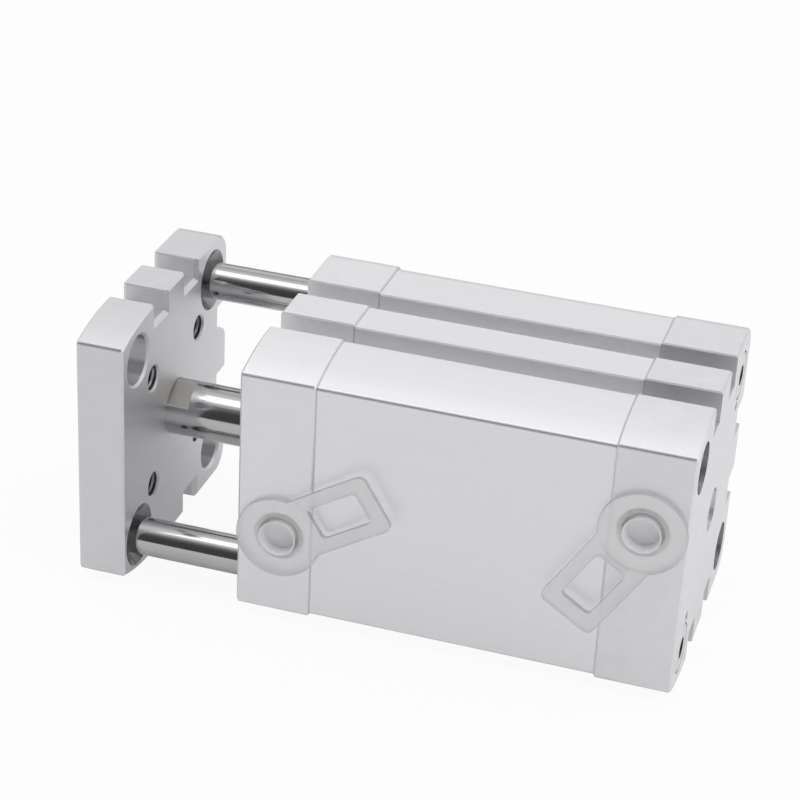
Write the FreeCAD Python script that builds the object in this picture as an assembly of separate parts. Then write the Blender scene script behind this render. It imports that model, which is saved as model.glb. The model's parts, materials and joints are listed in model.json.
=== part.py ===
"""Guided compact pneumatic cylinder, bore 40, stroke 45: one STEP file per sub-part.

Frame, in millimetres: the origin is on the cylinder axis at the rear mounting face, +X points
out of that face, the rod and its yoke plate work towards -X, the ports face -Y, and +Z is up.
"""
import FreeCAD, Part
import math
import os

from FreeCAD import Vector

# ---------------------------------------------------------------- driving dimensions
BORE = 40.0                  # cylinder bore
STROKE = 45.0                # full stroke
EXTENDED = 18.5              # how far the rod stands out of its retracted end at rest
CAP_LENGTH = 15.5            # each end cap
PISTON_LENGTH = 13.0
BUMPER_PROUD = 0.5           # elastic end stop, proud of its cap
BODY_WALL = 8.8              # bore to the top, bottom and back faces of a cap
PORT_SETBACK = 0.7           # the port face lies this much nearer the axis than those faces
CROWN_RISE = 2.7             # the crown leads from the port face up to the top face
CROWN_RADIUS = 44.0
CORNER_RADIUS = 5.0
BARREL_INSET = 0.4           # the barrel lies this much inside the outline of its caps
SLOT_OFFSET = 8.2            # sensor slot centre from the axis
SLOT_WIDTH = 6.5
SLOT_DEPTH = 6.5
PLATE_SLOT_DEPTH = 4.4       # the same slots in the yoke plate
PLATE_SLOT_FLARE = 0.9       # chamfer round their ends
SLOT_BREAK = 0.3             # chamfer along the mouth of a slot
PORT_EDGE_RADIUS = 0.8       # where the port face meets the crowns
RIM_BREAK = 0.4              # chamfer round both ends of a cap and of the yoke plate

ROD = 12.0
GUIDE_ROD = 8.0
GUIDE_WEB = 0.3              # guide rods and corner screws stand this far outside the bore,
#                              along Y and along Z
GUIDE_ROD_TAIL = 43.0        # rear end of a guide rod, from the rear face, at rest
PLATE_THICKNESS = 10.0
PLATE_GAP_RETRACTED = 6.0    # front cap to yoke plate with the rod fully in
FLAT_WIDTH = 10.0            # spanner flats on the piston rod
FLAT_LENGTH = 4.8
FLAT_TURN = 60.0             # the flats' normal, above the port side

PORT_TAP = 8.6               # G1/8 thread, minor diameter
PORT_MOUTH = 10.5            # its countersunk mouth
PORT_DEPTH = 9.0
PORT_INSET = 8.8             # port from its cap's outer face
PORT_SHIFT = 8.6             # port from the axis along Z
PORT_FLOOR = 14.0            # axis to the end of the narrower bore behind the thread
PORT_NECK = 6.0
PASSAGE = 3.2                # air passage from the port to the chamber

ACCESS_HOLE = 10.5           # holes in the yoke plate in line with the corner screws
ACCESS_EDGE = 0.5            # its countersink on the inner side
PLATE_TAP = 5.0              # M6 thread, minor diameter
PLATE_TAP_SINK = 0.5         # countersinks of the threads, inner and outer side
PLATE_TAP_EDGE = 0.4
PLATE_PITCH = 25.0
SPIGOT_RECESS = 9.0          # centring recess in the rear face
SPIGOT_RECESS_DEPTH = 2.1
PIN = 2.0
PIN_LENGTH = 12.0
PIN_INSIDE = 2.1             # a locating pin from its corner's centre line along Y, and from
#                              the guide rod's edge along Z

# ---------------------------------------------------------------- clearances
RUNNING = 0.05               # radial, between parts that slide
PRESSED = 0.03               # radial, between a pressed, screwed or squeezed part and its seat
SLACK = 0.2                  # round screw heads and shanks

# ---------------------------------------------------------------- seats and small parts
ROD_SEAL_RADIUS = 9.0
ROD_SEAL_LENGTH = 5.0
ROD_BUSH_WALL = 1.0
ROD_BUSH_LENGTH = 9.6
GUIDE_BUSH_WALL = 1.2
GUIDE_BUSH_IN_BARREL = 10.0
GUIDE_WIPER_RADIUS = 5.8
GUIDE_WIPER_LENGTH = 2.6
GUIDE_CHANNEL_GAP = 0.4      # round a guide rod, in the barrel
GUIDE_CHANNEL_END = 26.0     # rear end of the guide channels, from the rear face
LIP_STEP = 0.3               # steps in the lips of the rod seal and the guide wipers
TUBE_SEAL_SECTION = 1.2
BUMPER_INNER = 11.0
BUMPER_OUTER = 14.5
BUMPER_SEAT = 2.0
HEAD_BREAK = 0.4             # chamfer round a screw head
HEAD_M6 = 10.0
HEAD_M6_HEIGHT = 6.0
HEAD_SEAT_DEPTH = 9.0        # corner screw heads lie deep in their counterbores
SOCKET_M6 = 5.0              # across the flats of the hexagon socket
SOCKET_DEPTH = 3.0
SHANK_M6 = 6.0
SCREW_IN_BARREL = 12.0
SLEEVE_FLANGE = 10.2
SLEEVE_FLANGE_HEIGHT = 3.0
SLEEVE_SHANK = 8.0
SLEEVE_TAP = 4.2             # M5 thread for the user's screw, minor diameter
SLEEVE_TAP_DEPTH = 12.0
SLEEVE_IN_BARREL = 7.0
ROD_SPIGOT_DEPTH = 2.0       # how far the piston rod sits in the yoke plate
ROD_SCREW_HEAD = 13.0
ROD_SCREW_HEAD_HEIGHT = 5.0
ROD_SCREW_SHANK = 8.0
ROD_SCREW_LENGTH = 16.0
ROD_SCREW_SOCKET = 6.0
GUIDE_SPIGOT_DEPTH = 5.0
GUIDE_SCREW_HEAD = 8.5
GUIDE_SCREW_HEAD_HEIGHT = 2.8
GUIDE_SCREW_SHANK = 5.0
GUIDE_SCREW_LENGTH = 12.0
GUIDE_SCREW_SOCKET = 3.0
SOCKET_SHARE = 0.6           # depth of a hexagon socket, of its head's height
GUIDE_ROD_POINT = 0.8        # chamfer at the free end of a guide rod
GUIDE_SINK = 13.2            # countersink round a guide rod in the yoke plate

PISTON_GAP = 0.4             # radial, piston land to bore
SEAL_SECTION = 3.6           # bore to the floor of a seal groove
SEAL_LIP = 0.4
PISTON_BREAK = 0.6           # chamfer round the ends of the piston
SEAL_GROOVE_WIDTH = 2.5
SEAL_GROOVE_INSET = 1.5
BAND_WIDTH = 3.0             # wear ring and magnet
WEAR_RING_THICKNESS = 1.7
MAGNET_THICKNESS = 3.0
PISTON_BOLT_HEAD = 13.0
PISTON_BOLT_HEAD_HEIGHT = 4.6
PISTON_BOLT_SHANK = 8.0
PISTON_BOLT_IN_ROD = 14.0
PISTON_BOLT_SOCKET = 6.0
ROD_RING_SECTION = 1.4

PLUG_DISK = 17.5
PLUG_DISK_THICKNESS = 1.4
PLUG_DISK_ROUND = 0.6
PLUG_STEM_LENGTH = 5.0
PLUG_STEM_GAP = 0.08
PLUG_CUP = 7.2
PLUG_CUP_DEPTH = 4.4
PLUG_CUP_TAPER = 0.3         # how much narrower its floor is, in radius
PLUG_TAB_REACH = 24.5        # far end of the pull tab, from the plug's axis
PLUG_TAB_WIDTH = 12.5
PLUG_TAB_THICKNESS = 1.1
PLUG_TAB_LIFT = 1.1          # the far end stands off the port face
PLUG_TAB_SAG = 0.28          # share of the lift that is reached half way
PLUG_TAB_START = 5.5
PLUG_TAB_CLEAR = 0.3         # the near end of the tab stands this far off the port face
PLUG_TAB_CORNER = 1.6
PLUG_WINDOW_NEAR = 9.3
PLUG_WINDOW_FAR = 21.0
PLUG_WINDOW_WIDTH = 7.0
PLUG_WINDOW_CORNER = 1.0
FRONT_TAB_ANGLE = 32.5       # from +X towards +Z
REAR_TAB_ANGLE = 237.0

# ---------------------------------------------------------------- places round the axis
FLAT = BORE / 2 + BODY_WALL
PORT_FLAT = FLAT - PORT_SETBACK
GUIDE_OFFSET = BORE / 2 + GUIDE_WEB
PIN_Y = GUIDE_OFFSET - PIN_INSIDE
PIN_Z = GUIDE_OFFSET - GUIDE_ROD / 2 - PIN_INSIDE
SEAL_GROOVE_FLOOR = BORE / 2 - SEAL_SECTION
BAND_SPLIT = BORE / 2 - WEAR_RING_THICKNESS
BAND_FLOOR = BAND_SPLIT - MAGNET_THICKNESS

# ---------------------------------------------------------------- places along X
BARREL_LENGTH = PISTON_LENGTH + STROKE + 2 * BUMPER_PROUD
REAR_JOINT = -CAP_LENGTH
FRONT_JOINT = REAR_JOINT - BARREL_LENGTH
FRONT_FACE = FRONT_JOINT - CAP_LENGTH
PLATE_INNER = FRONT_FACE - PLATE_GAP_RETRACTED - EXTENDED
PLATE_OUTER = PLATE_INNER - PLATE_THICKNESS
PISTON_REAR = REAR_JOINT - BUMPER_PROUD - EXTENDED
PISTON_FRONT = PISTON_REAR - PISTON_LENGTH
PISTON_SPLIT = (PISTON_FRONT + PISTON_REAR) / 2
FRONT_PORT_X = FRONT_FACE + PORT_INSET
REAR_PORT_X = -PORT_INSET

NEAR = 1e-4                  # tolerance for picking edges
OVERCUT = 1.0                # how far a cutter runs past the face it opens
X_AXIS = Vector(1, 0, 0)
Y_AXIS = Vector(0, 1, 0)
Z_AXIS = Vector(0, 0, 1)

# corners seen from the front: (y, z) of the guide rods, and of the free diagonal
GUIDE_CORNERS = [(GUIDE_OFFSET, GUIDE_OFFSET), (-GUIDE_OFFSET, -GUIDE_OFFSET)]
SCREW_CORNERS = [(-GUIDE_OFFSET, GUIDE_OFFSET), (GUIDE_OFFSET, -GUIDE_OFFSET)]


# ---------------------------------------------------------------- helpers
def rod_x(start, end, radius, y=0.0, z=0.0):
    """Solid round bar along X from start to end."""
    return Part.makeCylinder(radius, abs(end - start), Vector(min(start, end), y, z), X_AXIS)


def ring_x(start, end, outer, inner, y=0.0, z=0.0):
    """Ring along X."""
    return rod_x(start, end, outer, y, z).cut(rod_x(start, end, inner, y, z))


def rod_y(start, end, radius, x, z):
    """Solid round bar along Y from start to end."""
    return Part.makeCylinder(radius, abs(end - start), Vector(x, min(start, end), z), Y_AXIS)


def cone_x(start, end, radius_start, radius_end, y=0.0, z=0.0):
    """Cone frustum along X, start < end."""
    return Part.makeCone(radius_start, radius_end, end - start, Vector(start, y, z), X_AXIS)


def hexagon_x(start, end, across, y=0.0, z=0.0):
    """Hexagonal prism along X."""
    reach = across / math.sqrt(3.0)
    turns = [math.radians(60.0 * k) for k in range(7)]
    points = [Vector(start, y + reach * math.cos(t), z + reach * math.sin(t)) for t in turns]
    return Part.Face(Part.makePolygon(points)).extrude(Vector(end - start, 0, 0))


def turned(points, y=0.0, z=0.0):
    """Solid of revolution about the X direction through (y, z), from (x, radius) points."""
    corners = [Vector(x, y, z + r) for x, r in points]
    face = Part.Face(Part.makePolygon(corners + corners[:1]))
    return face.revolve(Vector(0, y, z), X_AXIS, 360)


def group(solids):
    """Separate solids that share one node."""
    return Part.makeCompound(solids)


# ---------------------------------------------------------------- body outline
def outline(start, end, inset=0.0):
    """Block with the cylinder's outline: flat port side, crowned lead-ins, rounded back."""
    flat = FLAT - inset
    port = PORT_FLAT - inset
    crown = math.sqrt(CROWN_RISE * (2 * CROWN_RADIUS - CROWN_RISE)) - port
    hub = flat - CROWN_RADIUS
    near = flat - CORNER_RADIUS
    cut = flat - CORNER_RADIUS * (1 - math.sqrt(0.5))
    # the small round that joins the port face to a crown touches both
    edge = PORT_EDGE_RADIUS
    mid_y = edge - port
    mid_z = hub + math.sqrt((CROWN_RADIUS - edge) ** 2 - (crown - mid_y) ** 2)
    lean = math.atan2(mid_z - hub, mid_y - crown)

    def at(y, z):
        return Vector(start, y, z)

    def on_crown(angle):
        return crown + CROWN_RADIUS * math.cos(angle), hub + CROWN_RADIUS * math.sin(angle)

    def on_edge(angle):
        return mid_y + edge * math.cos(angle), mid_z + edge * math.sin(angle)

    top = [(on_edge(math.pi), on_edge((math.pi + lean) / 2), on_edge(lean)),
           (on_crown(lean), on_crown((lean + math.pi / 2) / 2), (crown, flat)),
           ((crown, flat), (near, flat)),
           ((near, flat), (cut, cut), (flat, near))]
    bottom = [tuple((y, -z) for y, z in reversed(piece)) for piece in reversed(top)]
    sides = [((flat, near), (flat, -near)), ((-port, -mid_z), (-port, mid_z))]
    edges = []
    for piece in top + sides[:1] + bottom + sides[1:]:
        points = [at(y, z) for y, z in piece]
        curve = Part.Arc(*points).toShape() if len(points) == 3 else Part.makeLine(*points)
        edges.append(curve)
    return Part.Face(Part.Wire(edges)).extrude(Vector(end - start, 0, 0))


def sensor_slots(start, end, inset, depth):
    """Cutters for the two slots in the top, the bottom and the back, flared at the mouth."""
    floor = FLAT - depth
    face = FLAT - inset
    half = SLOT_WIDTH / 2
    past = half + SLOT_BREAK + OVERCUT
    slots = []
    for side in (-SLOT_OFFSET, SLOT_OFFSET):
        section = [(side - half, floor), (side + half, floor), (side + half, face - SLOT_BREAK),
                   (side + past, face + OVERCUT), (side - past, face + OVERCUT),
                   (side - half, face - SLOT_BREAK)]
        for turn in (0.0, -90.0, 180.0):
            corners = [Vector(start, y, z) for y, z in section]
            slot = Part.Face(Part.makePolygon(corners + corners[:1]))
            slot = slot.extrude(Vector(end - start, 0, 0))
            slot.rotate(Vector(0, 0, 0), X_AXIS, turn)
            slots.append(slot)
    return slots


def slot_flares(face, outward, depth):
    """Cutters that chamfer the ends of the slots where they open in the face at X face."""
    grown = PLATE_SLOT_FLARE + OVERCUT
    top = FLAT + OVERCUT
    flares = []
    for side in (-SLOT_OFFSET, SLOT_OFFSET):
        for turn in (0.0, -90.0, 180.0):
            wires = []
            for x, more in ((face - outward * PLATE_SLOT_FLARE, 0.0), (face + outward * OVERCUT, grown)):
                half, floor = SLOT_WIDTH / 2 + more, FLAT - depth - more
                corners = [Vector(x, side - half, floor), Vector(x, side + half, floor),
                           Vector(x, side + half, top), Vector(x, side - half, top)]
                wires.append(Part.makePolygon(corners + corners[:1]))
            flare = Part.makeLoft(wires, True, True)
            flare.rotate(Vector(0, 0, 0), X_AXIS, turn)
            flares.append(flare)
    return flares


def section_block(start, end, inset=0.0, depth=SLOT_DEPTH, broken=True):
    """Outline with its slots; where broken, the rims of both ends are chamfered."""
    block = outline(start, end, inset)
    if broken:
        rims = [e for e in block.Edges
                if all(min(abs(v.X - start), abs(v.X - end)) < NEAR for v in e.Vertexes)
                and abs(e.BoundBox.XLength) < NEAR]
        block = block.makeChamfer(RIM_BREAK, rims)
    return block.cut(sensor_slots(start - OVERCUT, end + OVERCUT, inset, depth))


# ---------------------------------------------------------------- cap features
def port_cut(x, z, joint):
    """Threaded port with its mouth, the neck behind it and the passage to the chamber."""
    mouth_depth = (PORT_MOUTH - PORT_TAP) / 2
    face = -PORT_FLAT
    mouth = Part.makeCone(PORT_MOUTH / 2, PORT_TAP / 2, mouth_depth, Vector(x, face, z), Y_AXIS)
    thread = rod_y(face - 1, face + PORT_DEPTH, PORT_TAP / 2, x, z)
    neck = rod_y(face, -PORT_FLOOR, PORT_NECK / 2, x, z)
    passage = rod_x(x, joint, PASSAGE / 2, -(PORT_FLOOR + PASSAGE / 2), z)
    return thread.fuse([mouth, neck, passage])


def screw_seat(face, inward, y, z):
    """Counterbore and clearance hole for a corner screw; inward is +1 or -1 along X."""
    head = rod_x(face - inward, face + inward * HEAD_SEAT_DEPTH, HEAD_M6 / 2 + SLACK, y, z)
    shank = rod_x(face, face + inward * (CAP_LENGTH + 1), SHANK_M6 / 2 + SLACK, y, z)
    return head.fuse(shank)


def pin_corners():
    return [(-PIN_Y, -PIN_Z), (PIN_Y, PIN_Z)]


def pin_span(joint):
    """Start and end of a locating pin that bridges a cap joint."""
    return joint - PIN_LENGTH / 2, joint + PIN_LENGTH / 2


def pin_cuts(joint):
    start, end = pin_span(joint)
    return [rod_x(start, end, PIN / 2 + PRESSED, y, z) for y, z in pin_corners()]


def bumper_cut(joint, outward):
    """Annular seat of a bumper in the inner face of a cap."""
    return ring_x(joint, joint + outward * BUMPER_SEAT, BUMPER_OUTER, BUMPER_INNER)


# ---------------------------------------------------------------- fixed body
def front_cap():
    cap = section_block(FRONT_FACE, FRONT_JOINT)
    seal_end = FRONT_FACE + ROD_SEAL_LENGTH
    cuts = [
        port_cut(FRONT_PORT_X, -PORT_SHIFT, FRONT_JOINT + 1),
        rod_x(FRONT_FACE - 1, FRONT_JOINT + 1, ROD / 2 + 3 * RUNNING),
        rod_x(FRONT_FACE - 1, seal_end, ROD_SEAL_RADIUS + PRESSED),
        rod_x(seal_end, seal_end + ROD_BUSH_LENGTH, ROD / 2 + RUNNING + ROD_BUSH_WALL + PRESSED),
        bumper_cut(FRONT_JOINT, -1),
    ]
    for y, z in GUIDE_CORNERS:
        wiper_end = FRONT_FACE + GUIDE_WIPER_LENGTH
        cuts.append(rod_x(FRONT_FACE - 1, wiper_end, GUIDE_WIPER_RADIUS + PRESSED, y, z))
        cuts.append(rod_x(wiper_end, FRONT_JOINT + 1, guide_bush_radius() + PRESSED, y, z))
    cuts += [screw_seat(FRONT_FACE, 1, y, z) for y, z in SCREW_CORNERS]
    cuts += pin_cuts(FRONT_JOINT)
    return cap.cut(cuts)


def rear_cap():
    cap = section_block(REAR_JOINT, 0)
    cuts = [
        port_cut(REAR_PORT_X, PORT_SHIFT, REAR_JOINT - 1),
        rod_x(-SPIGOT_RECESS_DEPTH, 1, SPIGOT_RECESS / 2),
        bumper_cut(REAR_JOINT, 1),
    ]
    for y, z in GUIDE_CORNERS:
        cuts.append(rod_x(-SLEEVE_FLANGE_HEIGHT, 1, SLEEVE_FLANGE / 2 + PRESSED, y, z))
        cuts.append(rod_x(REAR_JOINT - 1, 0, SLEEVE_SHANK / 2 + PRESSED, y, z))
    cuts += [screw_seat(0.0, -1, y, z) for y, z in SCREW_CORNERS]
    cuts += pin_cuts(REAR_JOINT)
    # the pin holes go on to the rear face as small vents of the same drill
    cuts += [rod_x(REAR_JOINT, 1, PIN / 2 + PRESSED, y, z) for y, z in pin_corners()]
    return cap.cut(cuts)


def guide_bush_radius():
    return GUIDE_ROD / 2 + RUNNING + GUIDE_BUSH_WALL


def cylinder_barrel():
    barrel = section_block(FRONT_JOINT, REAR_JOINT, inset=BARREL_INSET, broken=False)
    mouth = BORE / 2 + TUBE_SEAL_SECTION + PRESSED
    cuts = [
        rod_x(FRONT_JOINT - 1, REAR_JOINT + 1, BORE / 2),
        rod_x(FRONT_JOINT - 1, FRONT_JOINT + TUBE_SEAL_SECTION, mouth),
        rod_x(REAR_JOINT - TUBE_SEAL_SECTION, REAR_JOINT + 1, mouth),
    ]
    channel = GUIDE_ROD / 2 + GUIDE_CHANNEL_GAP
    for y, z in GUIDE_CORNERS:
        bush_end = FRONT_JOINT + GUIDE_BUSH_IN_BARREL
        cuts.append(rod_x(FRONT_JOINT - 1, bush_end, guide_bush_radius() + PRESSED, y, z))
        cuts.append(rod_x(FRONT_JOINT, -GUIDE_CHANNEL_END, channel, y, z))
        cuts.append(rod_x(-GUIDE_CHANNEL_END, REAR_JOINT + 1, SLEEVE_SHANK / 2 + PRESSED, y, z))
    for y, z in SCREW_CORNERS:
        cuts.append(rod_x(FRONT_JOINT - 1, REAR_JOINT + 1, SHANK_M6 / 2 + PRESSED, y, z))
    cuts += pin_cuts(FRONT_JOINT) + pin_cuts(REAR_JOINT)
    return barrel.cut(cuts)


def tube_seal(start):
    """O-ring in the mouth of the bore."""
    inner = BORE / 2 + PRESSED
    return ring_x(start, start + TUBE_SEAL_SECTION, inner + TUBE_SEAL_SECTION - PRESSED, inner)


def bumper(joint, outward):
    """Elastic end stop in its cap, proud by BUMPER_PROUD."""
    low = min(joint + outward * (BUMPER_SEAT - PRESSED), joint - outward * BUMPER_PROUD)
    high = max(joint + outward * (BUMPER_SEAT - PRESSED), joint - outward * BUMPER_PROUD)
    return ring_x(low, high, BUMPER_OUTER - PRESSED, BUMPER_INNER + PRESSED)


def rod_bush():
    start = FRONT_FACE + ROD_SEAL_LENGTH
    inner = ROD / 2 + RUNNING
    return ring_x(start + PRESSED, start + ROD_BUSH_LENGTH, inner + ROD_BUSH_WALL, inner)


def rod_seal():
    """Combined rod seal and scraper: a body in its seat and a lip that leans on the rod."""
    inner = ROD / 2 + RUNNING
    start = FRONT_FACE
    end = FRONT_FACE + ROD_SEAL_LENGTH
    step = LIP_STEP
    profile = [(start + step, inner + 2 * step), (start, inner + 3 * step),
               (start + 2 * step, ROD_SEAL_RADIUS - 2 * step), (start + 2 * step, ROD_SEAL_RADIUS),
               (end, ROD_SEAL_RADIUS), (end, inner + 4 * step), (end - 5 * step, inner),
               (start + 3 * step, inner)]
    return turned(profile)


def guide_bush(y, z):
    start = FRONT_FACE + GUIDE_WIPER_LENGTH
    inner = GUIDE_ROD / 2 + RUNNING
    end = FRONT_JOINT + GUIDE_BUSH_IN_BARREL
    return ring_x(start + PRESSED, end - PRESSED, guide_bush_radius(), inner, y, z)


def guide_wiper(y, z):
    """Felt and rubber scraper in front of a guide bush."""
    inner = GUIDE_ROD / 2 + RUNNING
    start = FRONT_FACE
    end = start + GUIDE_WIPER_LENGTH
    step = LIP_STEP
    profile = [(start + step, inner + step), (start + step, GUIDE_WIPER_RADIUS),
               (end, GUIDE_WIPER_RADIUS), (end, inner + 2 * step), (start + 4 * step, inner),
               (start + 2 * step, inner)]
    return turned(profile, y, z)


def cap_screw(face, inward, y, z):
    """M6 socket head screw, deep in its counterbore, threaded into the barrel."""
    seat = face + inward * HEAD_SEAT_DEPTH
    top = seat - inward * HEAD_M6_HEIGHT
    tip = face + inward * (CAP_LENGTH + SCREW_IN_BARREL)
    head = rod_x(top, seat, HEAD_M6 / 2, y, z)
    head = head.makeChamfer(HEAD_BREAK, [e for e in head.Edges if abs(e.CenterOfMass.x - top) < NEAR])
    socket = hexagon_x(top, top + inward * SOCKET_DEPTH, SOCKET_M6, y, z)
    return head.fuse(rod_x(seat, tip, SHANK_M6 / 2, y, z)).cut(socket)


def sleeve_screw(y, z):
    """Flanged sleeve that clamps the rear cap at a guide corner and carries an M5 thread."""
    seat = -SLEEVE_FLANGE_HEIGHT
    tip = REAR_JOINT - SLEEVE_IN_BARREL
    flange = rod_x(seat, 0, SLEEVE_FLANGE / 2, y, z)
    flange = flange.makeChamfer(HEAD_BREAK, [e for e in flange.Edges if abs(e.CenterOfMass.x) < NEAR])
    screw = flange.fuse(rod_x(tip, seat, SLEEVE_SHANK / 2, y, z))
    return screw.cut(rod_x(-SLEEVE_TAP_DEPTH, 1, SLEEVE_TAP / 2, y, z))


def locating_pins(joint):
    start, end = pin_span(joint)
    return group([rod_x(start, end, PIN / 2, y, z) for y, z in pin_corners()])


# ---------------------------------------------------------------- moving body
def yoke_plate():
    plate = section_block(PLATE_OUTER, PLATE_INNER, depth=PLATE_SLOT_DEPTH)
    through = (PLATE_OUTER - 1, PLATE_INNER + 1)
    head_seat = PLATE_OUTER + ROD_SCREW_HEAD_HEIGHT + SLACK
    cuts = slot_flares(PLATE_INNER, 1, PLATE_SLOT_DEPTH) + slot_flares(PLATE_OUTER, -1, PLATE_SLOT_DEPTH)
    cuts += [
        rod_x(PLATE_INNER - ROD_SPIGOT_DEPTH, PLATE_INNER + 1, ROD / 2 + PRESSED),
        rod_x(*through, ROD_SCREW_SHANK / 2 + SLACK),
        rod_x(PLATE_OUTER - 1, head_seat, ROD_SCREW_HEAD / 2 + SLACK),
    ]
    for y, z in SCREW_CORNERS:
        cuts.append(rod_x(*through, ACCESS_HOLE / 2, y, z))
        rim = ACCESS_HOLE / 2 + ACCESS_EDGE
        cuts.append(cone_x(PLATE_INNER - ACCESS_EDGE, PLATE_INNER, ACCESS_HOLE / 2, rim, y, z))
    guide_head = PLATE_OUTER + GUIDE_SCREW_HEAD_HEIGHT + SLACK
    for y, z in GUIDE_CORNERS:
        guide_end = PLATE_INNER - GUIDE_SPIGOT_DEPTH
        cuts.append(rod_x(guide_end, PLATE_INNER + 1, GUIDE_ROD / 2 + PRESSED, y, z))
        sink = (GUIDE_SINK - GUIDE_ROD) / 2
        cuts.append(cone_x(PLATE_INNER - sink, PLATE_INNER, GUIDE_ROD / 2, GUIDE_SINK / 2, y, z))
        cuts.append(rod_x(*through, GUIDE_SCREW_SHANK / 2 + SLACK, y, z))
        cuts.append(rod_x(PLATE_OUTER - 1, guide_head, GUIDE_SCREW_HEAD / 2 + SLACK, y, z))
    tap, sink, edge = PLATE_TAP / 2, PLATE_TAP_SINK, PLATE_TAP_EDGE
    for y in (-PLATE_PITCH / 2, PLATE_PITCH / 2):
        for z in (-PLATE_PITCH / 2, PLATE_PITCH / 2):
            cuts.append(rod_x(*through, tap, y, z))
            cuts.append(cone_x(PLATE_INNER - sink, PLATE_INNER, tap, tap + sink, y, z))
            cuts.append(cone_x(PLATE_OUTER, PLATE_OUTER + edge, tap + edge, tap, y, z))
    return plate.cut(cuts)


def piston_rod():
    start = PLATE_INNER - ROD_SPIGOT_DEPTH
    rod = rod_x(start, PISTON_FRONT, ROD / 2)
    rod = rod.cut(rod_x(start - 1, start + ROD_SCREW_LENGTH, ROD_SCREW_SHANK / 2 + PRESSED))
    rod = rod.cut(rod_x(PISTON_FRONT - PISTON_BOLT_IN_ROD, PISTON_FRONT + 1,
                        PISTON_BOLT_SHANK / 2 + PRESSED))
    for turn in (FLAT_TURN, FLAT_TURN + 180.0):
        flat = Part.makeBox(FLAT_LENGTH, ROD, ROD, Vector(PLATE_INNER, -ROD / 2, FLAT_WIDTH / 2))
        # the flat's normal starts along +Z and is turned to lie above the port side
        flat.rotate(Vector(0, 0, 0), X_AXIS, 90.0 - turn)
        rod = rod.cut(flat)
    return rod


def socket_screw(head_top, head, height, shank, length, socket, y=0.0, z=0.0):
    """Screw that enters along +X: head, shank and hexagon socket."""
    seat = head_top + height
    body = rod_x(head_top, seat, head / 2, y, z)
    body = body.makeChamfer(HEAD_BREAK,
                            [e for e in body.Edges if abs(e.CenterOfMass.x - head_top) < NEAR])
    body = body.fuse(rod_x(seat, seat + length, shank / 2, y, z))
    return body.cut(hexagon_x(head_top, head_top + SOCKET_SHARE * height, socket, y, z))


def rod_end_screw():
    length = PLATE_INNER - ROD_SPIGOT_DEPTH + ROD_SCREW_LENGTH
    top = PLATE_OUTER + SLACK
    seat = top + ROD_SCREW_HEAD_HEIGHT
    return socket_screw(top, ROD_SCREW_HEAD, ROD_SCREW_HEAD_HEIGHT, ROD_SCREW_SHANK,
                        length - PRESSED - seat, ROD_SCREW_SOCKET)


def guide_rod(y, z):
    start = PLATE_INNER - GUIDE_SPIGOT_DEPTH
    rod = rod_x(start, -GUIDE_ROD_TAIL, GUIDE_ROD / 2, y, z)
    rod = rod.makeChamfer(GUIDE_ROD_POINT,
                          [e for e in rod.Edges if abs(e.CenterOfMass.x + GUIDE_ROD_TAIL) < NEAR])
    thread = rod_x(start - 1, start + GUIDE_SCREW_LENGTH, GUIDE_SCREW_SHANK / 2 + PRESSED, y, z)
    return rod.cut(thread)


def guide_rod_screws():
    top = PLATE_OUTER + SLACK
    seat = top + GUIDE_SCREW_HEAD_HEIGHT
    tip = PLATE_INNER - GUIDE_SPIGOT_DEPTH + GUIDE_SCREW_LENGTH - PRESSED
    return group([socket_screw(top, GUIDE_SCREW_HEAD, GUIDE_SCREW_HEAD_HEIGHT, GUIDE_SCREW_SHANK,
                               tip - seat, GUIDE_SCREW_SOCKET, y, z) for y, z in GUIDE_CORNERS])


def piston_half(face, inward):
    """Half of the piston; face is its outer end, inward the direction of the split."""
    land = BORE / 2 - PISTON_GAP
    hole = PISTON_BOLT_SHANK / 2 + RUNNING
    groove = face + inward * SEAL_GROOVE_INSET
    groove_end = groove + inward * SEAL_GROOVE_WIDTH
    band = PISTON_SPLIT - inward * BAND_WIDTH / 2
    profile = [(face, hole), (face, land - PISTON_BREAK), (face + inward * PISTON_BREAK, land),
               (groove, land),
               (groove, SEAL_GROOVE_FLOOR), (groove_end, SEAL_GROOVE_FLOOR), (groove_end, land),
               (band, land), (band, BAND_FLOOR), (PISTON_SPLIT, BAND_FLOOR), (PISTON_SPLIT, hole)]
    return turned(profile)


def piston_front_half():
    half = piston_half(PISTON_FRONT, 1)
    seat = PISTON_BOLT_SHANK / 2 + ROD_RING_SECTION + PRESSED
    return half.cut(rod_x(PISTON_FRONT - 1, PISTON_FRONT + ROD_RING_SECTION, seat))


def piston_rear_half():
    half = piston_half(PISTON_REAR, -1)
    head = PISTON_BOLT_HEAD / 2 + SLACK
    return half.cut(rod_x(PISTON_REAR - PISTON_BOLT_HEAD_HEIGHT, PISTON_REAR + 1, head))


def piston_seal(face, inward):
    """Lip seal: its lip flares towards the pressure side, at the outer end of the piston."""
    heel = face + inward * (SEAL_GROOVE_INSET + SEAL_GROOVE_WIDTH - PRESSED)
    toe = face + inward * (SEAL_GROOVE_INSET + PRESSED)
    outer = BORE / 2 - RUNNING
    inner = SEAL_GROOVE_FLOOR + PRESSED
    mid = (outer + inner) / 2
    profile = [(heel, inner), (heel, outer - SEAL_LIP), (toe + inward * SEAL_LIP, outer),
               (toe, outer - SEAL_LIP / 4), (toe + inward * 2 * SEAL_LIP, mid),
               (toe, inner + SEAL_LIP), (toe + inward * SEAL_LIP / 2, inner)]
    return turned(profile)


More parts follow.
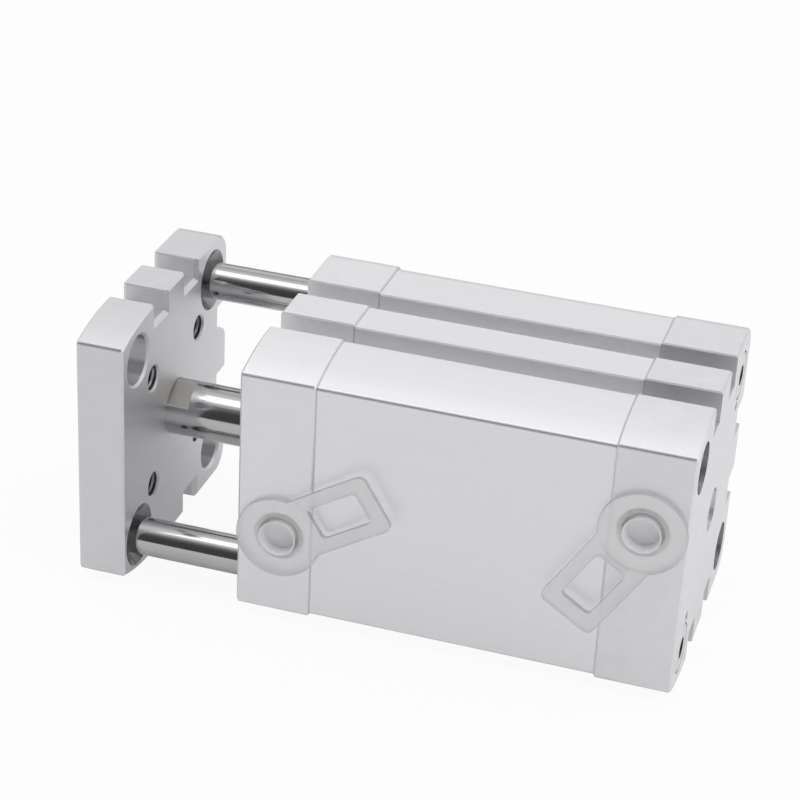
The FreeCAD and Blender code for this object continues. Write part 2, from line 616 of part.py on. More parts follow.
def piston_bolt():
    """Screw from the rear of the piston into the rod."""
    top = PISTON_REAR
    seat = top - PISTON_BOLT_HEAD_HEIGHT
    tip = PISTON_FRONT - PISTON_BOLT_IN_ROD + PRESSED
    bolt = rod_x(seat, top, PISTON_BOLT_HEAD / 2).fuse(rod_x(tip, seat, PISTON_BOLT_SHANK / 2))
    depth = SOCKET_SHARE * PISTON_BOLT_HEAD_HEIGHT
    return bolt.cut(hexagon_x(top, top - depth, PISTON_BOLT_SOCKET))


def piston_rod_ring():
    inner = PISTON_BOLT_SHANK / 2 + PRESSED
    start = PISTON_FRONT + PRESSED
    return ring_x(start, PISTON_FRONT + ROD_RING_SECTION, inner + ROD_RING_SECTION - PRESSED,
                        inner)


def band_ring(outer, inner):
    half = BAND_WIDTH / 2 - PRESSED
    return ring_x(PISTON_SPLIT - half, PISTON_SPLIT + half, outer, inner)


# ---------------------------------------------------------------- port plugs
def pull_tab():
    """Tab along +X with its window, bending up along +Z; the port face is at Z 0."""
    start, end = PLUG_TAB_START, PLUG_TAB_REACH
    low = PLUG_TAB_CLEAR
    middle = (start + end) / 2
    sag = low + PLUG_TAB_SAG * PLUG_TAB_LIFT
    thick = PLUG_TAB_THICKNESS

    def at(x, z):
        return Vector(x, -PLUG_TAB_WIDTH / 2, z)

    edges = [
        Part.Arc(at(start, low), at(middle, sag), at(end, PLUG_TAB_LIFT)).toShape(),
        Part.makeLine(at(end, PLUG_TAB_LIFT), at(end, PLUG_TAB_LIFT + thick)),
        Part.Arc(at(end, PLUG_TAB_LIFT + thick), at(middle, sag + thick),
                 at(start, low + thick)).toShape(),
        Part.makeLine(at(start, low + thick), at(start, low)),
    ]
    tab = Part.Face(Part.Wire(edges)).extrude(Vector(0, PLUG_TAB_WIDTH, 0))
    deep = PLUG_TAB_LIFT + thick + 2 * OVERCUT
    window = Part.makeBox(PLUG_WINDOW_FAR - PLUG_WINDOW_NEAR, PLUG_WINDOW_WIDTH, deep,
                          Vector(PLUG_WINDOW_NEAR, -PLUG_WINDOW_WIDTH / 2, -OVERCUT))
    window = window.makeFillet(PLUG_WINDOW_CORNER,
                               [e for e in window.Edges if abs(e.Length - deep) < NEAR])
    tab = tab.cut(window)
    corners = [e for e in tab.Edges if e.CenterOfMass.x > end - 1e-3 and e.Length < 2 * thick]
    return tab.makeFillet(PLUG_TAB_CORNER, corners)


def port_plug(x, z, tab_angle):
    """Dust plug: hollow stem in the port, dished disk on the port face, and the pull tab."""
    stem_radius = PORT_TAP / 2 - PLUG_STEM_GAP
    disk = Part.makeCylinder(PLUG_DISK / 2, PLUG_DISK_THICKNESS)
    top = [e for e in disk.Edges if abs(e.CenterOfMass.z - PLUG_DISK_THICKNESS) < NEAR]
    disk = disk.makeFillet(PLUG_DISK_ROUND, top)
    stem = Part.makeCylinder(stem_radius, PLUG_STEM_LENGTH, Vector(0, 0, -PLUG_STEM_LENGTH))
    body = disk.fuse([stem, pull_tab()])
    cup = Part.makeCone(PLUG_CUP / 2 - PLUG_CUP_TAPER, PLUG_CUP / 2, PLUG_CUP_DEPTH + OVERCUT,
                        Vector(0, 0, PLUG_DISK_THICKNESS - PLUG_CUP_DEPTH))
    body = body.cut(cup)
    # stand the plug on the port face: its +Z becomes -Y, its +X stays +X
    body.rotate(Vector(0, 0, 0), Z_AXIS, tab_angle)
    body.rotate(Vector(0, 0, 0), X_AXIS, 90.0)
    body.translate(Vector(x, -PORT_FLAT, z))
    return body


# ---------------------------------------------------------------- output
def build():
    upper, lower = GUIDE_CORNERS
    return {
        "front_cap": front_cap(),
        "cylinder_barrel": cylinder_barrel(),
        "rear_cap": rear_cap(),
        "front_tube_seal": tube_seal(FRONT_JOINT),
        "rear_tube_seal": tube_seal(REAR_JOINT - TUBE_SEAL_SECTION),
        "front_bumper": bumper(FRONT_JOINT, -1),
        "rear_bumper": bumper(REAR_JOINT, 1),
        "rod_bush": rod_bush(),
        "rod_seal": rod_seal(),
        "upper_guide_bush": guide_bush(*upper),
        "lower_guide_bush": guide_bush(*lower),
        "upper_guide_wiper": guide_wiper(*upper),
        "lower_guide_wiper": guide_wiper(*lower),
        "front_cap_screws": group([cap_screw(FRONT_FACE, 1, y, z) for y, z in SCREW_CORNERS]),
        "rear_cap_screws": group([cap_screw(0.0, -1, y, z) for y, z in SCREW_CORNERS]),
        "rear_sleeve_screws": group([sleeve_screw(y, z) for y, z in GUIDE_CORNERS]),
        "front_locating_pins": locating_pins(FRONT_JOINT),
        "rear_locating_pins": locating_pins(REAR_JOINT),
        "yoke_plate": yoke_plate(),
        "piston_rod": piston_rod(),
        "rod_end_screw": rod_end_screw(),
        "upper_guide_rod": guide_rod(*upper),
        "lower_guide_rod": guide_rod(*lower),
        "guide_rod_screws": guide_rod_screws(),
        "piston_front_half": piston_front_half(),
        "piston_rear_half": piston_rear_half(),
        "front_piston_seal": piston_seal(PISTON_FRONT, 1),
        "rear_piston_seal": piston_seal(PISTON_REAR, -1),
        "piston_wear_ring": band_ring(BORE / 2 - RUNNING, BAND_SPLIT + PRESSED),
        "piston_magnet": band_ring(BAND_SPLIT, BAND_FLOOR + PRESSED),
        "piston_rod_ring": piston_rod_ring(),
        "piston_bolt": piston_bolt(),
        "front_port_plug": port_plug(FRONT_PORT_X, -PORT_SHIFT, FRONT_TAB_ANGLE),
        "rear_port_plug": port_plug(REAR_PORT_X, PORT_SHIFT, REAR_TAB_ANGLE),
    }


os.makedirs("parts", exist_ok=True)
for name, shape in build().items():
    if not shape.isValid():
        raise RuntimeError("invalid shape: " + name)
    shape.exportStep("parts/" + name + ".step")
    print(name, len(shape.Solids), round(shape.Volume, 1))
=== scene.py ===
"""Looks for the guided pneumatic cylinder: materials, threads, plain floor, soft studio light."""
import json
import math

import bpy
from mathutils import Matrix, Vector


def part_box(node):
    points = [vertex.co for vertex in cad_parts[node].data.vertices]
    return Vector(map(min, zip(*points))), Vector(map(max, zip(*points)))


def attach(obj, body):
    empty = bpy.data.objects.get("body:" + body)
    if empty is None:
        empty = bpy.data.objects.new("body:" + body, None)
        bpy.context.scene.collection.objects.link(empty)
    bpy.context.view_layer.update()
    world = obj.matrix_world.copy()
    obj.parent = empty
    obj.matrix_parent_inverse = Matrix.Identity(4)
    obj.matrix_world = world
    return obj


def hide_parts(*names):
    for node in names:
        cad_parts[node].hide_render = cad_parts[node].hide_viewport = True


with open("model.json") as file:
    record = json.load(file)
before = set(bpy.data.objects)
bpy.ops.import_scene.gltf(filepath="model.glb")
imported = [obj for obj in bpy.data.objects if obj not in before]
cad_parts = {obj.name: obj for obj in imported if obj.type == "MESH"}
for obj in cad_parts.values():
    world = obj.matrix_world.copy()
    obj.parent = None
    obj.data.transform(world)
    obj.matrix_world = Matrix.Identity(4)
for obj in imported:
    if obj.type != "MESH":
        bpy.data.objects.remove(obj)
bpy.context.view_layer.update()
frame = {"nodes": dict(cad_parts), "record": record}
nodes = frame["nodes"]
scene = bpy.context.scene
scene.view_settings.view_transform = "Standard"


# ---------------------------------------------------------------- places on the object, in metres
MOUNTS = {mount["name"]: mount for mount in frame["record"]["mounts"]}
FLOOR_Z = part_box("rear_cap")[0].z
PORT_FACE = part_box("front_cap")[0].y
PLATE_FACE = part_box("yoke_plate")[0].x
JOINTS = (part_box("front_cap")[1].x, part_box("rear_cap")[0].x)
GUIDE = tuple(abs(low + high) / 2 for low, high in zip(*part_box("upper_guide_rod")))[1:]
PLATE_TAP = MOUNTS["plate_mount"]["dims"]["spacing_x_mm"] / 2000
PORTS = {"front_port_plug": MOUNTS["front_port"]["pos_m"],
         "rear_port_plug": MOUNTS["rear_port"]["pos_m"]}


# ---------------------------------------------------------------- node helpers
NOISE_LOW, NOISE_HIGH = 0.3, 0.7        # what a noise texture mostly runs between


class Tree:
    """Short hand for building a node tree."""

    def __init__(self, tree):
        self.tree = tree

    def node(self, kind, **settings):
        made = self.tree.nodes.new(kind)
        for key, value in settings.items():
            setattr(made, key, value)
        return made

    def link(self, source, target):
        self.tree.links.new(source, target)

    def feed(self, socket, value):
        """Link an output, or set a plain value."""
        if isinstance(value, bpy.types.NodeSocket):
            self.link(value, socket)
        else:
            socket.default_value = value

    def math(self, operation, a, b=0.0):
        made = self.node("ShaderNodeMath", operation=operation)
        self.feed(made.inputs[0], a)
        self.feed(made.inputs[1], b)
        return made.outputs[0]

    def times(self, first, *others):
        """The product of all the values."""
        for other in others:
            first = self.math("MULTIPLY", first, other)
        return first

    def spread(self, value, low, high, out_low, out_high):
        """Map the range low to high onto out_low to out_high, and hold it there."""
        made = self.node("ShaderNodeMapRange", clamp=True)
        for socket, number in zip(made.inputs, (value, low, high, out_low, out_high)):
            self.feed(socket, number)
        return made.outputs[0]

    def pick(self, mask, off, on):
        """off where the mask is 0, on where it is 1."""
        return self.spread(mask, 0.0, 1.0, off, on)

    def vary(self, noise, low, high):
        """Let a noise run from low to high."""
        return self.spread(noise, NOISE_LOW, NOISE_HIGH, low, high)

    def noise(self, point, scale, detail=3.0):
        """Grey noise; scale counts its grains in a metre."""
        made = self.node("ShaderNodeTexNoise")
        self.link(point, made.inputs["Vector"])
        made.inputs["Scale"].default_value = scale
        made.inputs["Detail"].default_value = detail
        return made.outputs["Fac"]

    def parts(self, vector):
        """x, y and z of a vector."""
        made = self.node("ShaderNodeSeparateXYZ")
        self.link(vector, made.inputs[0])
        return list(made.outputs)

    def normal(self):
        """x, y and z of the surface's normal."""
        return self.parts(self.node("ShaderNodeNewGeometry").outputs["Normal"])

    def stretched(self, point, scale):
        made = self.node("ShaderNodeVectorMath", operation="MULTIPLY")
        self.link(point, made.inputs[0])
        made.inputs[1].default_value = scale
        return made.outputs[0]

    def tint(self, colour, factor):
        """Colour times a factor that may vary over the surface."""
        made = self.node("ShaderNodeMix", data_type="RGBA", blend_type="MULTIPLY")
        made.inputs["Factor"].default_value = 1.0
        made.inputs[6].default_value = (*colour, 1.0)
        grey = self.node("ShaderNodeCombineColor")
        for socket in grey.inputs:
            self.link(factor, socket)
        self.link(grey.outputs[0], made.inputs[7])
        return made.outputs[2]

    def blend(self, factor, low, high):
        """Colour low where the factor is 0, high where it is 1."""
        made = self.node("ShaderNodeMix", data_type="RGBA")
        self.feed(made.inputs["Factor"], factor)
        for socket, colour in ((made.inputs[6], low), (made.inputs[7], high)):
            is_output = isinstance(colour, bpy.types.NodeSocket)
            self.feed(socket, colour if is_output else (*colour, 1.0))
        return made.outputs[2]

    def ramp(self, value, stops):
        made = self.node("ShaderNodeValToRGB")
        self.link(value, made.inputs[0])
        elements = made.color_ramp.elements
        while len(elements) < len(stops):
            elements.new(0.5)
        for element, (place, colour) in zip(elements, stops):
            element.position = place
            element.color = (*colour, 1.0)
        return made.outputs[0]

    def bump(self, height, distance, strength):
        made = self.node("ShaderNodeBump")
        made.inputs["Strength"].default_value = strength
        made.inputs["Distance"].default_value = distance
        self.link(height, made.inputs["Height"])
        return made.outputs[0]

    def mix_shaders(self, factor, low, high):
        """Shader low where the factor is 0, high where it is 1."""
        made = self.node("ShaderNodeMixShader")
        for socket, source in zip(made.inputs, (factor, low, high)):
            self.link(source, socket)
        return made.outputs[0]


def surface(name, metallic, roughness, **sockets):
    """New material; returns it, its tree, its Principled shader and the object's point."""
    material = bpy.data.materials.new(name)
    material.use_nodes = True
    tree = Tree(material.node_tree)
    shader = material.node_tree.nodes["Principled BSDF"]
    shader.inputs["Metallic"].default_value = metallic
    shader.inputs["Roughness"].default_value = roughness
    for key, value in sockets.items():
        shader.inputs[key.replace("_", " ")].default_value = value
    point = tree.node("ShaderNodeTexCoord").outputs["Object"]
    return material, tree, shader, point


def finish(tree, shader, colour, gloss, normal):
    """What every finish sets: its colour, its roughness and its relief."""
    tree.link(colour, shader.inputs["Base Color"])
    tree.link(gloss, shader.inputs["Roughness"])
    tree.link(normal, shader.inputs["Normal"])


# ---------------------------------------------------------------- dark joint lines, and painted shade by place on the object
SEAM_CORE, SEAM_EDGE = 0.00008, 0.00026     # half widths of a joint line, full and faded out
SEAM_TONES = (0.72, 0.86)                   # at the front and the rear joint
# painted shade on the narrow facets along the port face's long edges
EDGE_PAINTED_SHADE = 0.6
EDGE_FADE = (0.38, 0.46)                    # of the normal's y times z, which is 0.5 at 45 degrees
SLOT_FLANK = 0.9                            # least part of a slot wall's normal across the slot
SLOT_SPAN = 0.026                           # all slots lie nearer to the middle of their side
SLOT_FLOOR = 0.020                          # and their walls farther out from the axis
SINK_PAINTED_SHADE, SINK_POLISH = 0.36, 0.25         # painted shade and a glossier finish for the countersinks in the yoke plate
SINK_RADIUS = 0.00664
SINK_START = PLATE_FACE + 0.0072            # they lie on the plate's inner side
PLATE_TAP_CUT = 0.00262                     # radii within which a hole's wall gets painted shade
REAR_COUNTERBORE_CUT = 0.00523
SLEEVE_TAP_CUT = 0.0022
ROD_SKIN = 0.00596                          # the rod's flats lie nearer to the axis
# painted shade on the walls of tapped holes, counterbores and slots
TAP_PAINTED_SHADE, COUNTERBORE_PAINTED_SHADE, SLOT_PAINTED_SHADE = 0.22, 0.7, 0.8


def within(tree, distances, reach):
    """1 where the two distances together are within reach, else 0."""
    squares = [tree.times(value, value) for value in distances]
    return tree.math("LESS_THAN", tree.math("ADD", *squares), reach * reach)


def near_corners(tree, point, corner, reach):
    """1 within reach of the four lines along X through (+-y, +-z), else 0."""
    _, y, z = tree.parts(point)
    return within(tree, [tree.math("SUBTRACT", tree.math("ABSOLUTE", out), middle)
                         for out, middle in zip((y, z), corner)], reach)


def near_guides(tree, point, reach, start):
    """1 within reach of the two guide rods' axes and at a larger x than start, else 0."""
    x, y, z = tree.parts(point)
    guide_side = tree.math("GREATER_THAN", tree.times(y, z), 0.0)
    inner = tree.math("GREATER_THAN", x, start)
    return tree.times(near_corners(tree, point, GUIDE, reach), guide_side, inner)


def seam_shade(tree, point):
    """Dark line of the joints between the barrel and its caps, 1 elsewhere."""
    x = tree.parts(point)[0]
    lines = []
    for joint, tone in zip(JOINTS, SEAM_TONES):
        away = tree.math("ABSOLUTE", tree.math("SUBTRACT", x, joint))
        lines.append(tree.spread(away, SEAM_CORE, SEAM_EDGE, tone, 1.0))
    return tree.times(*lines)


def edge_painted_shade(tree):
    """The narrow facets that break the long edges of the port face get a painted shade, 1
    elsewhere.
    """
    _, y, z = tree.normal()
    slant = tree.math("ABSOLUTE", tree.times(tree.math("MINIMUM", y, 0.0), z))
    return tree.spread(slant, *EDGE_FADE, 1.0, EDGE_PAINTED_SHADE)


def slot_painted_shade(tree, point, tone):
    """Painted shade for the walls inside the top and back slots, 1 elsewhere."""
    _, y, z = tree.parts(point)
    _, normal_y, normal_z = tree.normal()
    walls = []
    for out, along, normal in ((z, y, normal_y), (y, z, normal_z)):
        flank = tree.math("GREATER_THAN", tree.math("ABSOLUTE", normal), SLOT_FLANK)
        inside = tree.math("LESS_THAN", tree.math("ABSOLUTE", along), SLOT_SPAN)
        deep = tree.math("GREATER_THAN", out, SLOT_FLOOR)
        walls.append(tree.times(flank, inside, deep))
    return tree.pick(tree.math("MAXIMUM", *walls), 1.0, tone)


# ---------------------------------------------------------------- materials
def blasted_aluminium(name, colour, speckle=0.035, rough=0.5, mottle=0.012, holes=None,
                      sinks=None, slots=None):
    """Bead-blasted and anodised: a fine grain in height, tone and gloss.

    Holes, countersinks and slot walls get painted shade: holes are (corner, radius, shade),
    sinks are (radius, start) for the guide rods' countersinks, and slots is the slot walls' shade.
    """
    material, tree, shader, point = surface(name, 1.0, rough)
    grain = tree.noise(point, scale=3600.0, detail=2.0)
    cloud = tree.noise(point, scale=260.0)
    tone = tree.math("ADD", tree.vary(grain, 1.0 - speckle, 1.0 + speckle),
                     tree.vary(cloud, -mottle, mottle))
    tone = tree.times(tone, seam_shade(tree, point), edge_painted_shade(tree))
    if holes:
        corner, radius, hole_painted_shade = holes
        # painted shade inside the holes
        hole = near_corners(tree, point, corner, radius)
        tone = tree.times(tone, tree.pick(hole, 1.0, hole_painted_shade))
    if slots:
        # painted shade on the slot walls
        tone = tree.times(tone, slot_painted_shade(tree, point, slots))
    gloss = tree.vary(grain, rough - 0.05, rough + 0.05)
    # painted shade, and a glossier finish, in the countersinks round the guide rods
    if sinks:
        cut = near_guides(tree, point, *sinks)
        tone = tree.times(tone, tree.pick(cut, 1.0, SINK_PAINTED_SHADE))
        gloss = tree.math("SUBTRACT", gloss, tree.times(cut, SINK_POLISH))
    relief = tree.bump(grain, distance=0.00004, strength=0.35)
    finish(tree, shader, tree.tint(colour, tone), gloss, relief)
    return material


def extruded_aluminium(name, colour):
    """Drawn section: faint die lines run along the body over a fine anodised grain."""
    material, tree, shader, point = surface(name, 1.0, 0.46)
    lines = tree.noise(tree.stretched(point, (6.0, 1500.0, 1500.0)), scale=1.0)
    grain = tree.noise(point, scale=4200.0, detail=2.0)
    tone = tree.math("ADD", tree.vary(lines, 0.985, 1.01), tree.vary(grain, -0.008, 0.008))
    tone = tree.times(tone, seam_shade(tree, point), edge_painted_shade(tree))
    height = tree.math("ADD", tree.times(lines, 0.6), tree.times(grain, 0.4))
    finish(tree, shader, tree.tint(colour, tone), tree.vary(lines, 0.43, 0.49),
           tree.bump(height, distance=0.00002, strength=0.3))
    return material


def chromed_steel(name, colour, cut_radius=None):
    """Ground and hard chromed, with very fine rings; inside cut_radius it is bare cut steel."""
    material, tree, shader, point = surface(name, 1.0, 0.1)
    rings = tree.noise(tree.stretched(point, (9000.0, 60.0, 60.0)), scale=1.0, detail=2.0)
    skin = tree.tint(colour, tree.vary(tree.noise(point, scale=180.0), 0.95, 1.0))
    gloss = tree.vary(rings, 0.07, 0.14)
    if cut_radius:
        _, y, z = tree.parts(point)
        cut = within(tree, (y, z), cut_radius)
        skin = tree.blend(cut, skin, CUT_STEEL)
        gloss = tree.math("ADD", gloss, tree.times(cut, 0.3))
    finish(tree, shader, skin, gloss, tree.bump(rings, distance=0.000004, strength=0.25))
    return material


def clouded(name, colour, metallic, rough, noise, tones, swing, relief):
    """One noise that varies the tone, the gloss and the height of a plain surface."""
    material, tree, shader, point = surface(name, metallic, rough)
    cloud = tree.noise(point, **noise)
    finish(tree, shader, tree.tint(colour, tree.vary(cloud, *tones)),
           tree.vary(cloud, rough - swing, rough + swing), tree.bump(cloud, **relief))
    return material


def worn_metal(name, colour, rough):
    """Plated or sintered small parts."""
    return clouded(name, colour, 1.0, rough, {"scale": 900.0, "detail": 4.0},
                   tones=(0.85, 1.05), swing=0.08, relief={"distance": 0.00003, "strength": 0.3})


def matt(name, colour, rough, grain_scale):
    """Rubber and bearing plastics."""
    return clouded(name, colour, 0.0, rough, {"scale": grain_scale},
                   tones=(0.8, 1.2), swing=0.06, relief={"distance": 0.00005, "strength": 0.4})


FACING = (0.35, 0.95)                       # of the normal's y: an edge below, a flat face above
CUP_WALL = 0.00385                          # outside of the plug's cup
EDGE_ALPHA, FACE_ALPHA = 0.6, 0.4


def milky_plastic(name, centre):
    """Thin soft polyethylene: what lies under it shows through, but the cup is dense; its edges
    carry a painted shade.
    """
    material, tree, shader, point = surface(name, 0.0, 0.36, IOR=1.48)
    flow = tree.noise(point, scale=350.0)
    _, normal_y, _ = tree.normal()
    outward = tree.spread(tree.times(normal_y, -1.0), *FACING, 0.0, 1.0)
    inward = tree.spread(normal_y, *FACING, 0.0, 1.0)
    x, _, z = tree.parts(point)
    cup = within(tree, [tree.math("SUBTRACT", place, middle)
                        for place, middle in zip((x, z), centre)], CUP_WALL)
    body = tree.tint(PLASTIC, tree.vary(flow, 0.98, 1.0))
    skin = tree.times(tree.pick(outward, EDGE_ALPHA, FACE_ALPHA), tree.pick(inward, 1.0, 0.0))
    tree.link(tree.math("MAXIMUM", skin, cup), shader.inputs["Alpha"])
    # painted shade on the plug's edges
    finish(tree, shader, tree.blend(cup, tree.blend(outward, PLASTIC_EDGE_PAINTED_SHADE, body), PLASTIC_CUP),
           tree.vary(flow, 0.3, 0.42), tree.bump(flow, distance=0.00005, strength=0.25))
    return material


ALUMINIUM = (0.88, 0.88, 0.90)
PLATE_ALUMINIUM = (0.765, 0.765, 0.785)
# the cast aluminium a little darker on the rear cap than on the front cap: painted shade
REAR_CAP_ALUMINIUM_PAINTED_SHADE = (0.835, 0.835, 0.855)
BRIGHT_ZINC = (0.78, 0.78, 0.785)
CHROME = (0.52, 0.515, 0.52)
CUT_STEEL = (0.30, 0.285, 0.27)
THREAD_METAL_PAINTED_SHADE = (0.40, 0.40, 0.41)
PLASTIC = (0.985, 0.975, 0.985)
# painted shade for the plug's edges
PLASTIC_EDGE_PAINTED_SHADE = (0.43, 0.47, 0.51)
PLASTIC_CUP = (0.93, 0.935, 0.95)
FLOOR_PAPER = (0.86, 0.86, 0.865)

LOOKS = {
    "cast_aluminium": blasted_aluminium("cast_aluminium", ALUMINIUM),
    "extruded_aluminium": extruded_aluminium("extruded_aluminium", ALUMINIUM),
    "chromed_steel": chromed_steel("chromed_steel", CHROME),
    "zinc_steel": worn_metal("zinc_steel", (0.42, 0.42, 0.43), 0.38),
    "bronze": worn_metal("bronze", (0.45, 0.32, 0.16), 0.45),
    "dark_rubber": matt("dark_rubber", (0.03, 0.03, 0.032), 0.55, 1500.0),
    "bearing_plastic": matt("bearing_plastic", (0.20, 0.16, 0.11), 0.5, 1500.0),
    "magnet": matt("magnet", (0.06, 0.055, 0.055), 0.6, 2500.0),
}
OWN_LOOKS = {
    "yoke_plate": blasted_aluminium("plate_aluminium", PLATE_ALUMINIUM,
                                    holes=((PLATE_TAP, PLATE_TAP), PLATE_TAP_CUT, TAP_PAINTED_SHADE),
                                    sinks=(SINK_RADIUS, SINK_START)),
    "rear_cap": blasted_aluminium("rear_cap_aluminium_painted_shade", REAR_CAP_ALUMINIUM_PAINTED_SHADE, mottle=0.018,
                                  holes=(GUIDE, REAR_COUNTERBORE_CUT, COUNTERBORE_PAINTED_SHADE),
                                  slots=SLOT_PAINTED_SHADE),
    "rear_sleeve_screws": blasted_aluminium("bright_zinc", BRIGHT_ZINC, 0.03, 0.45, 0.01,
                                            holes=(GUIDE, SLEEVE_TAP_CUT, TAP_PAINTED_SHADE)),
    "piston_rod": chromed_steel("chromed_piston_rod", CHROME, ROD_SKIN),
}
for plug, (x, _, z) in PORTS.items():
    OWN_LOOKS[plug] = milky_plastic(plug.replace("port_plug", "plug_plastic"), (x, z))


def dress(piece, look):
    piece.data.materials.clear()
    piece.data.materials.append(look)


for row in frame["record"]["subparts"]:
    dress(nodes[row["node"]], OWN_LOOKS.get(row["node"]) or LOOKS[row["material_slot"]])


# ---------------------------------------------------------------- plugs
PLUG_LIFT = 0.00003
SAME_PLANE = 0.000003
DISK_FRONT = PORT_FACE - 0.0014
CUP_RADIUS = 0.0036
CUP_SHARE = 0.55              # the milky cup looks shallower than it is, so its floor comes forward


def lifted_plug(node, body):
    """The plug with its disk a hair off the port face, so that the two don't share a plane."""
    mesh = nodes[node].data.copy()
    x, _, z = PORTS[node]
    for vertex in mesh.vertices:
        place = vertex.co
        if abs(place.y - PORT_FACE) < SAME_PLANE:
            place.y -= PLUG_LIFT
        if math.hypot(place.x - x, place.z - z) < CUP_RADIUS and place.y > DISK_FRONT:
            place.y = DISK_FRONT + CUP_SHARE * (place.y - DISK_FRONT)
    plug = bpy.data.objects.new("soft_" + node, mesh)
    scene.collection.objects.link(plug)
    dress(plug, OWN_LOOKS[node])
    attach(plug, body)
    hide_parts(node)


lifted_plug("front_port_plug", "front_plug")
lifted_plug("rear_port_plug", "rear_plug")


# ---------------------------------------------------------------- threads
STEPS = 24                    # round one turn
RIDGE_HALF = 0.36             # half the width of a ridge at its root, of the pitch
RIDGE_ROOT = 0.00002          # how far the root lies behind the wall of the hole


def thread_ridge(points, faces, place, radius, pitch, start, end, height):
    """One helical ridge of triangular section, on the wall of a hole along the local Z axis."""
    half = RIDGE_HALF * pitch
    count = int(STEPS * (end - start - 2 * half) / pitch)
    first = len(points)
    for step in range(count + 1):
        turn = 2 * math.pi * step / STEPS
        fade = min(1.0, step / (STEPS / 2), (count - step) / (STEPS / 2))
        along = start + half + pitch * step / STEPS
        for out, shift in ((RIDGE_ROOT, -half), (-height * fade, 0.0), (RIDGE_ROOT, half)):
            points.append(place @ Vector(((radius + out) * math.cos(turn),
                                          (radius + out) * math.sin(turn), along + shift)))
    for step in range(count):
        low = first + 3 * step
        for side in range(3):
            after = (side + 1) % 3
            faces.append((low + side, low + after, low + 3 + after, low + 3 + side))
    last = first + 3 * count
    faces.append((first + 2, first + 1, first))
    faces.append((last, last + 1, last + 2))


def threads(name, body, slot, mouths, inward, **sizes):
    """Cut threads of one kind of hole, whose mouths are given; inward points into the metal."""
    turned = Vector(inward).to_track_quat("Z", "Y").to_matrix().to_4x4()
    points, faces = [], []
    for mouth in mouths:
        thread_ridge(points, faces, Matrix.Translation(mouth) @ turned, **sizes)
    mesh = bpy.data.meshes.new(name)
    mesh.from_pydata(points, [], faces)
    mesh.validate()
    piece = bpy.data.objects.new(name, mesh)
    scene.collection.objects.link(piece)
    dress(piece, thread_look_painted_shade)
    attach(piece, body)


# thread ridges darker than the metal they are cut in: painted shade inside the holes
thread_look_painted_shade = worn_metal("cut_thread", THREAD_METAL_PAINTED_SHADE, 0.4)
SIDES = (-1, 1)
threads("plate_tap_threads", "rod", "cast_aluminium",
        [(PLATE_FACE, y * PLATE_TAP, z * PLATE_TAP) for y in SIDES for z in SIDES], (1, 0, 0),
        radius=0.0025, pitch=0.001, start=0.0004, end=0.0095, height=0.0003)
threads("rear_tap_threads", "housing", "zinc_steel",
        [(0.0, side * GUIDE[0], side * GUIDE[1]) for side in SIDES], (-1, 0, 0),
        radius=0.0021, pitch=0.0008, start=0.0001, end=0.0115, height=0.00026)
# the plug's stem has little room beside it, so the thread is full height only behind the stem
threads("port_threads", "housing", "cast_aluminium", PORTS.values(), (0, 1, 0),
        radius=0.0043, pitch=0.000907, start=0.001, end=0.0051, height=0.00006)
threads("port_threads_inner", "housing", "cast_aluminium", PORTS.values(), (0, 1, 0),
        radius=0.0043, pitch=0.000907, start=0.0052, end=0.0088, height=0.0003)


# ---------------------------------------------------------------- stage
FLOOR_HALF = 6.0
FLOOR_WHITE = 0.93            # how far the floor is plain white to the camera
FLOOR_MIRRORED = 0.25         # and in reflections
WORLD_MIRRORED = 0.03         # how far the world is, in reflections


def floor_material():
    """Pale floor that reads white to the camera and still keeps the object's shadow."""
    material, tree, shader, point = surface("floor_paper", 0.0, 0.8, Specular_IOR_Level=0.2)
    tree.link(tree.tint(FLOOR_PAPER, tree.vary(tree.noise(point, scale=30.0), 0.995, 1.0)),
              shader.inputs["Base Color"])
    glow = tree.node("ShaderNodeEmission")
    glow.inputs["Strength"].default_value = 1.0
    path = tree.node("ShaderNodeLightPath").outputs
    mirrored = tree.math("MAXIMUM", path["Is Glossy Ray"], path["Is Transmission Ray"])
    white = tree.math("MAXIMUM", tree.times(path["Is Camera Ray"], FLOOR_WHITE),
                      tree.times(mirrored, FLOOR_MIRRORED))
    tree.link(tree.mix_shaders(white, shader.outputs[0], glow.outputs[0]),
              material.node_tree.nodes["Material Output"].inputs["Surface"])
    return material


def make_floor():
    mesh = bpy.data.meshes.new("floor")
    mesh.from_pydata([(x * FLOOR_HALF, y * FLOOR_HALF, FLOOR_Z)
                      for x, y in ((-1, -1), (1, -1), (1, 1), (-1, 1))], [], [(0, 1, 2, 3)])
    mesh.materials.append(floor_material())
    floor = bpy.data.objects.new("floor", mesh)
    scene.collection.objects.link(floor)


# radiance of the studio by the angle over the top, from the camera's horizon to the far one
SKY = [(12, 0.05), (35, 0.06), (52, 0.25), (61, 0.8), (78, 0.95), (92, 0.95), (107, 0.95),
       (122, 0.62), (137, 0.90), (153, 1.04), (172, 0.25)]
SKY_PEAK = 1.1
ENDS_FADE = (0.54, 0.7)       # of the direction's x: the studio's middle below, its ends above
ENDS_LEVELS = (0.5, 1.0)      # of the rod's end and the rear end
ENDS_LIFT = 1.15              # towards the top of the rear end


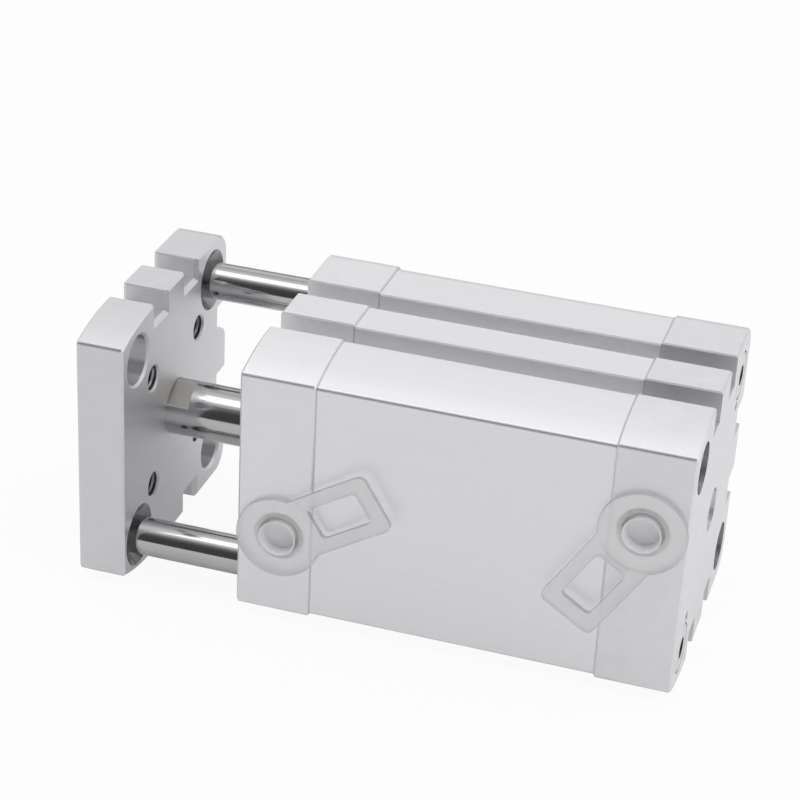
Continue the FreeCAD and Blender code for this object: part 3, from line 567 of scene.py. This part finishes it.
def make_world():
    """White to the camera; elsewhere a studio that is dark behind the camera and pale above."""
    world = bpy.data.worlds.new("studio")
    world.use_nodes = True
    scene.world = world
    tree = Tree(world.node_tree)
    x, y, z = tree.parts(tree.node("ShaderNodeTexCoord").outputs["Generated"])
    over = tree.math("DIVIDE", tree.math("ARCTAN2", z, tree.times(y, -1.0)), math.pi)
    middle = world.node_tree.nodes["Background"]
    middle.inputs["Strength"].default_value = SKY_PEAK
    tree.link(tree.ramp(over, [(angle / 180.0, (level / SKY_PEAK,) * 3) for angle, level in SKY]),
              middle.inputs["Color"])
    ends = tree.node("ShaderNodeBackground")
    tree.link(tree.spread(x, -0.1, 0.1, *ENDS_LEVELS), ends.inputs["Color"])
    tree.link(tree.spread(tree.times(x, z), 0.1, 0.4, 1.0, ENDS_LIFT), ends.inputs["Strength"])
    studio = tree.mix_shaders(tree.spread(tree.math("ABSOLUTE", x), *ENDS_FADE, 0.0, 1.0),
                              middle.outputs[0], ends.outputs[0])
    white = tree.node("ShaderNodeBackground")
    white.inputs["Color"].default_value = (1.0, 1.0, 1.0, 1.0)
    path = tree.node("ShaderNodeLightPath").outputs
    seen = tree.math("MAXIMUM", path["Is Camera Ray"], path["Is Transmission Ray"])
    seen = tree.math("MAXIMUM", seen, tree.times(path["Is Glossy Ray"], WORLD_MIRRORED))
    tree.link(tree.mix_shaders(seen, studio, white.outputs[0]),
              world.node_tree.nodes["World Output"].inputs["Surface"])


def area_light(name, place, target, size, power):
    data = bpy.data.lights.new(name, "AREA")
    data.shape = "RECTANGLE"
    data.size, data.size_y = size
    data.energy = power
    lamp = bpy.data.objects.new(name, data)
    lamp.location = place
    lamp.rotation_euler = (Vector(target) - Vector(place)).to_track_quat("-Z", "Y").to_euler()
    scene.collection.objects.link(lamp)


CAMERA_PLACE = (0.0503, -0.4105, 0.2400)
CAMERA_ANGLES = (15.773, 28.203, 3.1275)    # yaw to the left, pitch down and roll, in degrees
CAMERA_SENSOR, CAMERA_LENS = 36.0, 107.0    # in millimetres


def make_camera():
    yaw, pitch, roll = (math.radians(angle) for angle in CAMERA_ANGLES)
    ahead = Vector((-math.sin(yaw) * math.cos(pitch), math.cos(yaw) * math.cos(pitch),
                    -math.sin(pitch)))
    right = Vector((math.cos(yaw), math.sin(yaw), 0.0))
    up = right.cross(ahead)
    across = math.cos(roll) * right + math.sin(roll) * up
    upward = math.cos(roll) * up - math.sin(roll) * right
    data = bpy.data.cameras.new("camera")
    data.sensor_width = CAMERA_SENSOR
    data.lens = CAMERA_LENS
    data.clip_start, data.clip_end = 0.01, 50.0
    camera = bpy.data.objects.new("camera", data)
    turned = Matrix((across, upward, -ahead)).transposed().to_4x4()
    camera.matrix_world = Matrix.Translation(CAMERA_PLACE) @ turned
    scene.collection.objects.link(camera)
    scene.camera = camera


make_floor()
make_world()
area_light("overhead_softbox", place=(-0.06, -0.14, 1.0), target=(-0.06, 0.0, 0.0),
           size=(1.5, 0.5), power=2.8)
make_camera()
